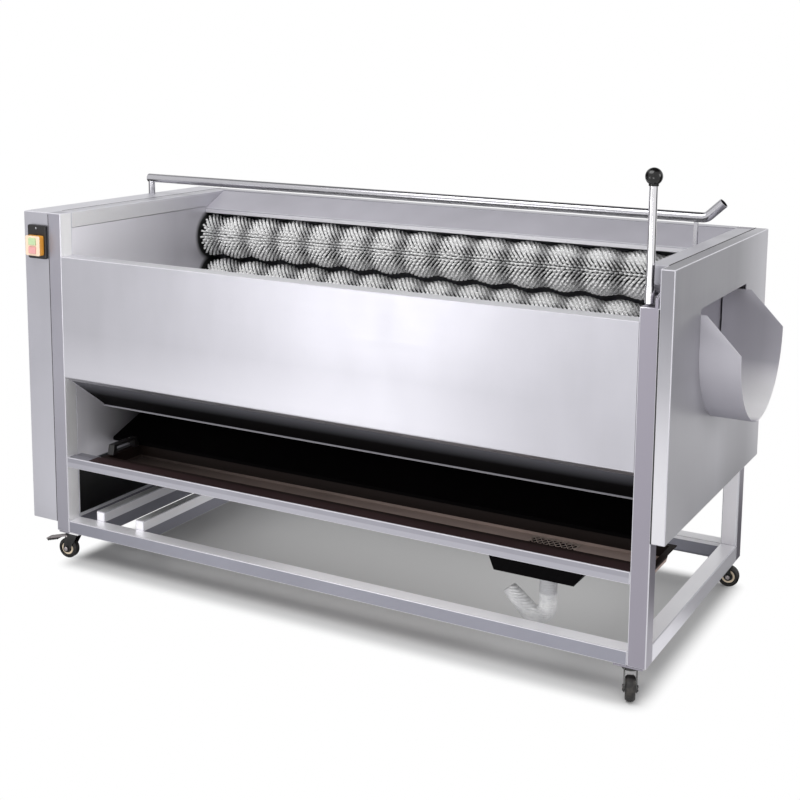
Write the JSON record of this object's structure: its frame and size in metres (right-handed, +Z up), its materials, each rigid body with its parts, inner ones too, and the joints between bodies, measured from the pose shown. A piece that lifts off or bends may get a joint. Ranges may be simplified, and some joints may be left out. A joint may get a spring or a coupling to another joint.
{
  "type": "roller vegetable washer",
  "caption": "Roller vegetable washer: brush rollers in a U trough under a spray pipe, geared drive at the left end, gated chute at the right, drip tray below, on casters.",
  "frame": {"origin": "centre of the bounding box in X and Y, on the floor under the casters", "axes": "+X along the rollers towards the chute, +Y to the rear, +Z up"},
  "size_m": [1.687, 0.695, 1.0335],
  "materials": {
    "panel_steel": "satin sheet",
    "frame_steel": "satin tube",
    "polished_steel": "polished round bar",
    "machined_steel": "machined",
    "nylon_bristle": "nylon filament",
    "tray_dark": "dark brown enamel",
    "black_plastic": "moulded",
    "white_plastic": "moulded",
    "knob_black": "glossy ball",
    "amber_plastic": "moulded",
    "green_plastic": "moulded",
    "red_plastic": "moulded",
    "motor_paint": "grey blue enamel",
    "caster_tyre": "hard tyre",
    "caster_black": "black steel",
    "zinc_steel": "zinc plated"
  },
  "bodies": {
    "frame": {"base_frame": "frame_steel", "catch_plate": "panel_steel", "chute": "panel_steel", "end_cover": "panel_steel", "front_left_post": "frame_steel", "front_panel": "panel_steel", "front_right_post": "frame_steel", "gear_housing": "panel_steel", "gear_motor": "motor_paint", "left_bearings": "machined_steel", "left_wall": "panel_steel", "motor_stand": "frame_steel", "rear_left_post": "frame_steel", "rear_panel": "panel_steel", "rear_right_post": "frame_steel", "right_bearings": "machined_steel", "right_wall": "panel_steel", "splash_guard": "panel_steel", "spray_pipe": "polished_steel", "switch_cover": "amber_plastic", "switch_plate": "black_plastic", "top_frame": "frame_steel", "tray_rails": "frame_steel", "under_panel": "panel_steel"},
    "roller_1": {"roller_1_shaft": "polished_steel", "roller_1_brush": "nylon_bristle"},
    "roller_2": {"roller_2_shaft": "polished_steel", "roller_2_brush": "nylon_bristle"},
    "roller_3": {"roller_3_shaft": "polished_steel", "roller_3_brush": "nylon_bristle"},
    "roller_4": {"roller_4_shaft": "polished_steel", "roller_4_brush": "nylon_bristle"},
    "roller_5": {"roller_5_shaft": "polished_steel", "roller_5_brush": "nylon_bristle"},
    "roller_6": {"roller_6_shaft": "polished_steel", "roller_6_brush": "nylon_bristle"},
    "roller_7": {"roller_7_shaft": "polished_steel", "roller_7_brush": "nylon_bristle"},
    "roller_8": {"roller_8_shaft": "polished_steel", "roller_8_brush": "nylon_bristle"},
    "motor_output": {"drive_gear": "machined_steel"},
    "gate": {"gate_plate": "panel_steel", "gate_lever": "polished_steel", "lever_knob": "knob_black"},
    "tray": {"tray": "tray_dark", "drain_funnel": "tray_dark", "tray_handle": "black_plastic", "drain_elbow": "white_plastic"},
    "strainer": {"tray_strainer": "tray_dark"},
    "start_button": {"start_button": "green_plastic"},
    "stop_button": {"stop_button": "red_plastic"},
    "front_left_swivel": {"front_left_fork": "caster_black"},
    "front_left_roll": {"front_left_wheel": "caster_tyre"},
    "rear_left_swivel": {"rear_left_fork": "caster_black"},
    "rear_left_roll": {"rear_left_wheel": "caster_tyre"},
    "front_right_swivel": {"front_right_fork": "caster_black"},
    "front_right_roll": {"front_right_wheel": "caster_tyre"},
    "rear_right_swivel": {"rear_right_fork": "caster_black"},
    "rear_right_roll": {"rear_right_wheel": "caster_tyre"},
    "brake": {"brake_pedal": "zinc_steel"}
  },
  "joints": [
    {"name": "roller_1_spin", "type": "hinge", "parent": "frame", "child": "roller_1", "pos_m": [-0.7295, 0.25399, 0.73297], "axis": [1, 0, 0], "continuous": true},
    {"name": "roller_2_spin", "type": "hinge", "parent": "frame", "child": "roller_2", "pos_m": [-0.7295, 0.25545, 0.61298], "axis": [1, 0, 0], "continuous": true},
    {"name": "roller_3_spin", "type": "hinge", "parent": "frame", "child": "roller_3", "pos_m": [-0.7295, 0.20115, 0.50597], "axis": [1, 0, 0], "continuous": true},
    {"name": "roller_4_spin", "type": "hinge", "parent": "frame", "child": "roller_4", "pos_m": [-0.7295, 0.10344, 0.4363], "axis": [1, 0, 0], "continuous": true},
    {"name": "roller_5_spin", "type": "hinge", "parent": "frame", "child": "roller_5", "pos_m": [-0.7295, -0.01542, 0.41984], "axis": [1, 0, 0], "continuous": true},
    {"name": "roller_6_spin", "type": "hinge", "parent": "frame", "child": "roller_6", "pos_m": [-0.7295, -0.12839, 0.46033], "axis": [1, 0, 0], "continuous": true},
    {"name": "roller_7_spin", "type": "hinge", "parent": "frame", "child": "roller_7", "pos_m": [-0.7295, -0.20973, 0.54855], "axis": [1, 0, 0], "continuous": true},
    {"name": "roller_8_spin", "type": "hinge", "parent": "frame", "child": "roller_8", "pos_m": [-0.7295, -0.24094, 0.66442], "axis": [1, 0, 0], "continuous": true},
    {"name": "motor_spin", "type": "hinge", "parent": "frame", "child": "motor_output", "pos_m": [-0.7295, 0.10344, 0.2863], "axis": [1, 0, 0], "continuous": true},
    {"name": "gate_swing", "type": "hinge", "parent": "frame", "child": "gate", "pos_m": [0.7065, -0.3035, 0.794], "axis": [0, -1, 0], "range_deg": [0, 26]},
    {"name": "tray_slide", "type": "slide", "parent": "frame", "child": "tray", "axis": [1, 0, 0], "range_m": [0, 0.18]},
    {"name": "strainer_lift", "type": "slide", "parent": "tray", "child": "strainer", "axis": [0, 0, 1], "range_m": [0, 0.02]},
    {"name": "start_button_press", "type": "slide", "parent": "frame", "child": "start_button", "axis": [0, 1, 0], "range_m": [0, 0.003], "stiffness_N_per_m": 400},
    {"name": "stop_button_press", "type": "slide", "parent": "frame", "child": "stop_button", "axis": [0, 1, 0], "range_m": [0, 0.003], "stiffness_N_per_m": 400},
    {"name": "front_left_swivel", "type": "hinge", "parent": "frame", "child": "front_left_swivel", "pos_m": [-0.7315, -0.3035, 0.07], "axis": [0, 0, 1], "continuous": true},
    {"name": "front_left_roll", "type": "hinge", "parent": "front_left_swivel", "child": "front_left_roll", "pos_m": [-0.74635, -0.30559, 0.025], "axis": [0.1392, -0.9903, 0], "continuous": true},
    {"name": "rear_left_swivel", "type": "hinge", "parent": "frame", "child": "rear_left_swivel", "pos_m": [-0.7315, 0.3285, 0.07], "axis": [0, 0, 1], "continuous": true},
    {"name": "rear_left_roll", "type": "hinge", "parent": "rear_left_swivel", "child": "rear_left_roll", "pos_m": [-0.7465, 0.3285, 0.025], "axis": [0, -1, 0], "continuous": true},
    {"name": "front_right_swivel", "type": "hinge", "parent": "frame", "child": "front_right_swivel", "pos_m": [0.6965, -0.3035, 0.07], "axis": [0, 0, 1], "continuous": true},
    {"name": "front_right_roll", "type": "hinge", "parent": "front_right_swivel", "child": "front_right_roll", "pos_m": [0.70163, -0.3176, 0.025], "axis": [0.9397, 0.342, 0], "continuous": true},
    {"name": "rear_right_swivel", "type": "hinge", "parent": "frame", "child": "rear_right_swivel", "pos_m": [0.6965, 0.3285, 0.07], "axis": [0, 0, 1], "continuous": true},
    {"name": "rear_right_roll", "type": "hinge", "parent": "rear_right_swivel", "child": "rear_right_roll", "pos_m": [0.71135, 0.33059, 0.025], "axis": [-0.1392, 0.9903, 0], "continuous": true},
    {"name": "brake_tilt", "type": "hinge", "parent": "front_left_swivel", "child": "brake", "pos_m": [-0.74536, -0.30545, 0.057], "axis": [0.1392, -0.9903, 0], "range_deg": [0, 17]}
  ],
  "couplings": [
    {"joint": "roller_2_spin", "follows": "roller_1_spin", "ratio": -1},
    {"joint": "roller_3_spin", "follows": "roller_1_spin", "ratio": 1},
    {"joint": "roller_4_spin", "follows": "roller_1_spin", "ratio": -1},
    {"joint": "roller_5_spin", "follows": "roller_1_spin", "ratio": 1},
    {"joint": "roller_6_spin", "follows": "roller_1_spin", "ratio": -1},
    {"joint": "roller_7_spin", "follows": "roller_1_spin", "ratio": 1},
    {"joint": "roller_8_spin", "follows": "roller_1_spin", "ratio": -1},
    {"joint": "motor_spin", "follows": "roller_1_spin", "ratio": 0.66667}
  ]
}
